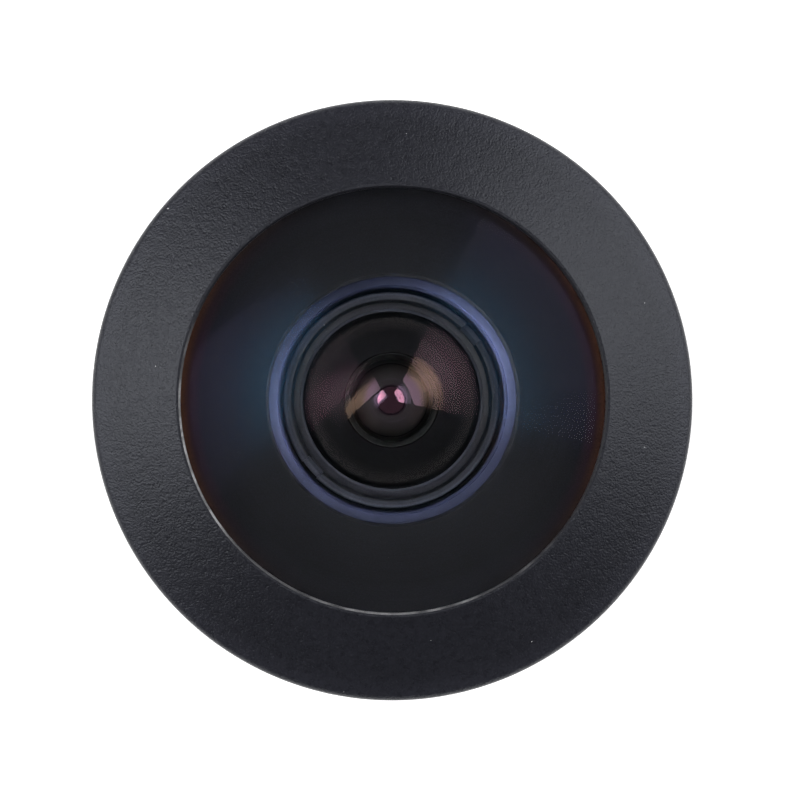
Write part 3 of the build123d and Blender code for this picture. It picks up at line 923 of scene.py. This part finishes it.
class MakeInnerRing(bpy.types.Operator):
    """Turn the stepped ring inside the front hollow and mill its spanner slots"""

    bl_idname = "board_lens.inner_ring"
    bl_label = "Inner ring"

    def execute(self, context):
        glass = context.scene.lens_glass
        bottom, crest, outer = span("inner_ring")
        bore = glass.second_clear + 0.05 * MM
        lip, floor, shelf = bore + 0.07 * MM, bore + 0.28 * MM, outer - 0.11 * MM
        step, groove, edge = 0.1 * MM, 0.2 * MM, 0.025 * MM
        outline = Outline("turned_inner_ring", bore, bottom)
        outline.path((bore, bottom + step), (lip, bottom + 0.17 * MM), (floor, bottom + groove))
        outline.bend(floor, crest, edge, 1)
        outline.path(
            (shelf - edge / 2, crest), (shelf + edge, crest - edge), (outer, crest - (outer - shelf)),
            (outer, bottom),
        )
        piece = outline.spin(steps=256)
        slot_width, slot_height, slot_turn = 0.8 * MM, 0.4 * MM, math.radians(40)
        slots = block("slot_tool", (2.2 * outer, slot_width, slot_height), (0, 0, crest))
        bpy.ops.transform.rotate(value=-slot_turn, orient_axis="Z", center_override=(0, 0, 0))
        bpy.ops.object.mode_set(mode="OBJECT")
        carve(piece, slots)
        deliver(seal(piece), ["inner_ring"], ["Black oxide ring"], smooth=20.0)
        return {"FINISHED"}


class MakeSecondElement(bpy.types.Operator):
    """Turn the second element, a meniscus with a deep hollow"""

    bl_idname = "board_lens.second_element"
    bl_label = "Second element"

    def execute(self, context):
        glass = context.scene.lens_glass
        apex, edge = top("second_element"), reach("second_element")
        rim, seat = base("inner_ring") - glass.seat_gap, top("front_shield") + glass.seat_gap
        bevel = glass.glass_bevel
        hollow_apex = apex - glass.second_centre
        hollow_centre = hollow_apex - glass.second_hollow
        mouth = math.sqrt(glass.second_hollow**2 - (seat - hollow_centre) ** 2)
        outline = Outline("ground_second_element", 0, apex)
        front_edge = apex - sag(glass.second_radius, glass.second_clear)
        outline.arc(glass.second_clear, front_edge, (0, apex - glass.second_radius), 32)
        outline.path(
            (glass.second_clear, rim), (edge - bevel, rim), (edge, rim - bevel), (edge, seat + bevel),
            (edge - bevel, seat), (mouth, seat),
        )
        outline.arc(0, hollow_apex, (0, hollow_centre), 48)
        piece = outline.spin(steps=256)
        finishes = ("Second front coating", "Bowl coating", "Glass ink", "Edge paint")
        deliver(piece, ["second_element"], finishes, smooth=4.0)
        coat_faces(piece, glass.second_clear, mouth, edge - bevel)
        return {"FINISHED"}


class MakeSpacers(bpy.types.Operator):
    """Turn the black spacers and masks between the elements"""

    bl_idname = "board_lens.spacers"
    bl_label = "Spacers and shields"

    def execute(self, context):
        glass = context.scene.lens_glass
        hollow_centre = top("second_element") - glass.second_centre - glass.second_hollow
        mouth = math.sqrt(glass.second_hollow**2 - (base("second_element") - hollow_centre) ** 2)
        margin = 0.05 * MM
        third_bore, rear_bore = glass.third_clear + margin, glass.rear_clear + margin
        for node, finish, slot, bore in (
            ("front_shield", "Mask film", "mask_film", mouth + margin),
            ("stop_spacer", "Spacer black", "black_spacer", third_bore),
            ("pair_spacer", "Spacer black", "black_spacer", glass.fourth_clear + margin),
            ("rear_spacer", "Spacer black", "black_spacer", rear_bore),
            ("rear_shield", "Mask film", "mask_film", rear_bore),
        ):
            low, high, outer = span(node)
            piece = washer(f"turned_{node}", bore, outer, low, high, min(margin, (high - low) / 5), 160)
            deliver(piece, [node], [finish], smooth=25.0)
        low, high, outer = span("front_spacer")
        teeth, tooth_depth = 8, 0.16 * MM
        first_bore = mouth + 0.1 * MM
        widening = (third_bore - first_bore - tooth_depth) / teeth
        outline = Outline("turned_front_spacer", outer, low)
        outline.path((outer, high), (first_bore, high))
        for tooth in range(1, teeth + 1):
            level = high - (high - low) * tooth / teeth
            outline.path((first_bore + widening * tooth + tooth_depth, level))
            if tooth < teeth:
                outline.path((first_bore + widening * tooth, level))
        deliver(outline.spin(steps=192), ["front_spacer"], ["Spacer black"], smooth=20.0)
        return {"FINISHED"}


class MakeApertureStop(bpy.types.Operator):
    """Turn the thin aperture stop with its bevelled opening"""

    bl_idname = "board_lens.aperture_stop"
    bl_label = "Aperture stop"

    def execute(self, context):
        low, high, outer = span("aperture_stop")
        opening, bevel, land = 1.07 * MM, 0.08 * MM, 0.02 * MM
        outline = Outline("turned_aperture_stop", opening, low)
        outline.path((outer, low), (outer, high), (opening + bevel, high), (opening, low + land))
        deliver(outline.spin(steps=192), ["aperture_stop"], ["Stop metal"], smooth=20.0)
        return {"FINISHED"}


class MakeRearGlass(bpy.types.Operator):
    """Turn the third element, the cemented pair and the sixth element"""

    bl_idname = "board_lens.rear_glass"
    bl_label = "Third to sixth elements"

    def execute(self, context):
        glass = context.scene.lens_glass
        gap = glass.seat_gap
        self.biconvex(
            "third_element", glass.third_front, glass.third_rear, glass.third_clear,
            base("front_spacer") - gap, top("stop_spacer") + gap,
        )
        self.biconvex(
            "sixth_element", glass.sixth_front, glass.sixth_rear, glass.rear_clear,
            base("rear_shield") - gap, top("infrared_filter") + glass.ledge_thickness + gap,
        )
        # The cemented pair, with a film of cement between the two
        film = 0.003 * MM
        seam, apex, edge = span("fourth_element")
        depth, rim = sag(glass.cement_radius, edge), base("pair_spacer") - gap
        outline = Outline("ground_fourth_element", 0, apex)
        self.dome(outline, apex, glass.fourth_front, glass.fourth_clear)
        outline.path((glass.fourth_clear, rim), (edge, rim), (edge, seam + depth + film))
        outline.arc(0, seam + film, (0, seam + film + glass.cement_radius), 32)
        self.hand_over(outline, "fourth_element", glass.fourth_clear, edge)
        rear, seat, outer = base("fifth_element"), top("rear_spacer") + gap, reach("fifth_element")
        outline = Outline("ground_fifth_element", 0, seam)
        outline.arc(edge, seam + depth, (0, seam + glass.cement_radius), 32)
        outline.path((outer, seam + depth), (outer, seat), (glass.rear_clear, seat))
        self.bowl(outline, rear, glass.fifth_rear, glass.rear_clear)
        self.hand_over(outline, "fifth_element", edge, glass.rear_clear)
        return {"FINISHED"}

    def dome(self, outline, apex, radius, clear):
        """Round front from the axis to its clear radius."""
        outline.arc(clear, apex - sag(radius, clear), (0, apex - radius), 32)

    def bowl(self, outline, rear, radius, clear):
        """Round rear from its clear radius to the axis."""
        outline.path((clear, rear + sag(radius, clear)))
        outline.arc(0, rear, (0, rear + radius), 32)

    def biconvex(self, node, front_radius, rear_radius, clear, rim, seat):
        """Element with two domed faces inside flat rims."""
        apex, edge = top(node), reach(node)
        bevel = bpy.context.scene.lens_glass.glass_bevel
        outline = Outline(f"ground_{node}", 0, apex)
        self.dome(outline, apex, front_radius, clear)
        outline.path(
            (clear, rim), (edge - bevel, rim), (edge, rim - bevel), (edge, seat + bevel),
            (edge - bevel, seat), (clear, seat),
        )
        self.bowl(outline, base(node), rear_radius, clear)
        self.hand_over(outline, node, clear, clear)

    def hand_over(self, outline, node, front, rear):
        """Spin an element, coat its polished faces and ink the rest."""
        piece = outline.spin(steps=192)
        place = node.split("_")[0].capitalize()
        finishes = (f"{place} front coating", f"{place} rear coating", "Glass ink")
        deliver(piece, [node], finishes, smooth=4.0)
        coat_faces(piece, front, rear)


class MakeFilter(bpy.types.Operator):
    """Make the square infrared filter and the adhesive along its sides"""

    bl_idname = "board_lens.infrared_filter"
    bl_label = "Infrared filter"

    def execute(self, context):
        low, high, side = span("infrared_filter")
        gap, corner, hair = 0.004 * MM, 0.3 * MM, 0.02 * MM
        size = (2 * side, 2 * side, high - low - gap)
        plate = block("cut_infrared_filter", size, (0, 0, (low + high - gap) / 2))
        # The corners are clipped first, then every edge gets a very narrow bevel
        pick_edges(plate, lambda first, last: abs(first.z - last.z) > gap)
        bpy.ops.mesh.bevel(offset=corner, segments=1)
        bpy.ops.mesh.select_all(action="SELECT")
        bpy.ops.mesh.bevel(offset=hair, segments=1)
        bpy.ops.mesh.select_mode(type="VERT")
        deliver(seal(plate), ["infrared_filter"], ["Filter glass"], smooth=4.0)

        bead, half_length = 0.29 * MM, 0.78 * MM
        place = (side + gap + bead / 2, 0, high - gap - bead / 2)
        beads = block("cured_filter_adhesive", (bead, 2 * half_length, bead), place)
        # Surface tension rounds the free edge and the two ends
        free_side, free_level = side + bead / 2, high - bead / 2
        pick_edges(
            beads,
            lambda first, last: min(first.x, last.x) > free_side and max(first.z, last.z) < free_level,
        )
        bpy.ops.mesh.bevel(offset=0.9 * bead, segments=8)
        wall, roof = side + 2 * gap, high - 2 * gap
        pick_edges(
            beads,
            lambda first, last: min(abs(first.y), abs(last.y)) > 0.99 * half_length
            and max(first.x, last.x) > wall
            and min(first.z, last.z) < roof,
        )
        bpy.ops.mesh.bevel(offset=0.3 * bead, segments=4)
        bpy.ops.mesh.select_mode(type="VERT")
        bpy.ops.mesh.select_all(action="SELECT")
        repeat_round(4)
        deliver(seal(beads), ["filter_adhesive"], ["Cured adhesive"], smooth=50.0)
        return {"FINISHED"}


class MakeLockRing(bpy.types.Operator):
    """Turn the lock ring and mill the notches round its rim"""

    bl_idname = "board_lens.lock_ring"
    bl_label = "Lock ring"

    def execute(self, context):
        body = context.scene.lens_body
        low, high = span("lock_ring")[:2]
        outer, bevel = 8.0 * MM, 0.3 * MM
        piece = washer("turned_lock_ring", body.lock_bore, outer, low, high, bevel, 192)
        deselect()
        bpy.ops.mesh.primitive_cylinder_add(
            vertices=48, radius=body.notch_radius, depth=2 * (high - low), location=(0, 0, 0)
        )
        tool = open_new("notch_tool")
        out = outer + body.notch_radius - body.notch_depth
        bpy.ops.transform.translate(value=(out, 0, (low + high) / 2))
        repeat_round(body.notch_count)
        carve(piece, seal(tool))
        finishes = ["Anodised lock ring"]
        deliver(seal(piece), ["lock_ring"], finishes, body=LOCK, smooth=25.0)
        return {"FINISHED"}


def softbox(name, place, facing, size, roll, radiance, slide=0.0, spread=math.pi):
    """Rectangular lamp at a place, facing against a direction, with a grid where the spread is narrow."""
    lamp = bpy.data.lights.new(name, "AREA")
    lamp.shape = "RECTANGLE"
    lamp.size, lamp.size_y = size
    lamp.energy = radiance * math.pi * lamp.size * lamp.size_y
    if spread < math.pi:
        lamp.spread = spread
        lamp.energy *= 1 - spread / 2 / math.tan(spread / 2)
    holder = bpy.data.objects.new(name, lamp)
    turn = (-facing).to_track_quat("-Z", "Y") @ Quaternion((0, 0, 1), roll)
    holder.location = place + turn @ Vector((0, slide, 0))
    holder.rotation_euler = turn.to_euler()
    bpy.context.collection.objects.link(holder)


def towards(azimuth, polar):
    """Unit vector at an azimuth and an angle off the optical axis."""
    across = math.sin(polar)
    return Vector((across * math.cos(azimuth), across * math.sin(azimuth), math.cos(polar)))


def seen_rays(tree):
    """The kinds of ray, and 1 for camera, glossy and transmission rays."""
    rays = add(tree, "ShaderNodeLightPath").outputs
    seen = maths(tree, "MAXIMUM", rays["Is Camera Ray"], rays["Is Glossy Ray"])
    return rays, maths(tree, "MAXIMUM", seen, rays["Is Transmission Ray"])


class MakeStage(bpy.types.Operator):
    """Lay the white floor, place the softboxes and the camera"""

    bl_idname = "board_lens.stage"
    bl_label = "Stage"

    def execute(self, context):
        scene = context.scene
        stage = scene.lens_stage
        self.lay_floor(scene)
        self.light_world(scene, stage)
        target = Vector((0, 0, top("front_ring")))
        level = math.pi / 2
        softbox(
            "Right softbox", target + stage.right_distance * towards(stage.right_azimuth, stage.right_polar),
            towards(stage.right_azimuth, level), (stage.right_width, stage.right_height), 0,
            stage.right_radiance,
        )
        left = towards(stage.left_azimuth, stage.left_polar)
        softbox(
            "Left softbox", target + stage.left_distance * left, left, (stage.left_width, stage.left_height),
            stage.left_roll, stage.left_radiance, stage.left_slide, stage.left_spread,
        )
        camera = bpy.data.cameras.new("Camera")
        camera.clip_start, camera.clip_end = 10 * MM, 20.0
        camera.sensor_width = 36.0
        camera.lens = camera.sensor_width * stage.camera_distance / stage.frame_width
        holder = bpy.data.objects.new("Camera", camera)
        body = scene.lens_body
        cone_fall = (reach("front_ring") - body.lip_radius) * math.tan(body.ring_slope)
        aim = Vector((stage.aim_right, stage.aim_up, top("front_ring") - cone_fall))
        lean = Vector((-math.sin(stage.camera_tilt), 0, math.cos(stage.camera_tilt)))
        holder.location = aim + lean * stage.camera_distance
        holder.rotation_euler = (0, -stage.camera_tilt, 0)
        context.collection.objects.link(holder)
        scene.camera = holder
        scene.view_settings.view_transform = "Standard"
        return {"FINISHED"}

    def lay_floor(self, scene):
        """White paper that the lens stands on."""
        deselect()
        paper_size, fibre_scale, unevenness = 6.0, 900.0, 0.015
        bpy.ops.mesh.primitive_plane_add(size=paper_size, location=(0, 0, 0))
        floor = bpy.context.object
        floor.name = "Floor"
        material, tree, surface = shader("White paper")
        place = position(tree)
        white = scene.lens_finish.floor_white
        fibres = noise(tree, place, fibre_scale, 4.0)
        tone = blend(tree, fibres, rgba(white, 1 - unevenness), rgba(white, 1 + unevenness))
        seen = seen_rays(tree)[1]
        distance = vector_maths(tree, "LENGTH", place, output="Value")
        # The lens stands on a disc that doesn't glow
        disc, glow_level = 5.5 * MM, 0.62
        outside = maths(tree, "GREATER_THAN", distance, disc)
        glow = maths(tree, "MULTIPLY", maths(tree, "MULTIPLY", seen, outside), glow_level)
        fill(tree, surface, {
            "Base Color": tone, "Roughness": 0.9, "Specular IOR Level": 0.1,
            "Emission Color": (1, 1, 1, 1), "Emission Strength": glow,
        })
        floor.data.materials.append(material)

    def light_world(self, scene, stage):
        """White backdrop round the floor under a dim ceiling."""
        world = bpy.data.worlds.new("Studio")
        world.use_nodes = True
        scene.world = world
        tree = world.node_tree
        rays, seen = seen_rays(tree)
        place = add(tree, "ShaderNodeTexCoord").outputs["Generated"]
        height = add(tree, "ShaderNodeSeparateXYZ", {0: place}).outputs["Z"]
        backdrop = maths(tree, "MULTIPLY", seen, remap(tree, height, 0.10, 0.30, 1.0, 0.0))
        shown = maths(tree, "MAXIMUM", backdrop, rays["Is Camera Ray"])
        strength = maths(tree, "MAXIMUM", shown, stage.world_level)
        fill(tree, tree.nodes["Background"], {"Color": (1, 1, 1, 1), "Strength": strength})


PIECES = (
    MakeFinishes, MakeBarrel, MakeFrontRing, MakeFrontElement, MakeFrontSeal, MakeInnerRing,
    MakeSecondElement, MakeSpacers, MakeApertureStop, MakeRearGlass, MakeFilter, MakeLockRing,
    MakeStage,
)
SETTINGS = (
    ("lens_glass", LensGlassSettings),
    ("lens_body", LensBodySettings),
    ("lens_finish", LensFinishSettings),
    ("lens_coating", LensCoatingSettings),
    ("lens_stage", LensStageSettings),
)


class BoardLensPanel(bpy.types.Panel):
    """Buttons that make the pieces of the lens"""

    bl_idname = "VIEW3D_PT_board_lens"
    bl_label = "Board Lens"
    bl_space_type = "VIEW_3D"
    bl_region_type = "UI"
    bl_category = "Board Lens"

    def draw(self, context):
        for piece in PIECES:
            self.layout.operator(piece.bl_idname)


def register():
    for name, settings in SETTINGS:
        bpy.utils.register_class(settings)
        setattr(bpy.types.Scene, name, bpy.props.PointerProperty(type=settings))
    for entry in (*PIECES, BoardLensPanel):
        bpy.utils.register_class(entry)


def unregister():
    for entry in (BoardLensPanel, *reversed(PIECES)):
        bpy.utils.unregister_class(entry)
    for name, settings in reversed(SETTINGS):
        delattr(bpy.types.Scene, name)
        bpy.utils.unregister_class(settings)


def main():
    register()
    for piece in PIECES:
        family, action = piece.bl_idname.split(".")
        getattr(getattr(bpy.ops, family), action)()
    deselect()


if __name__ == "__main__":
    main()
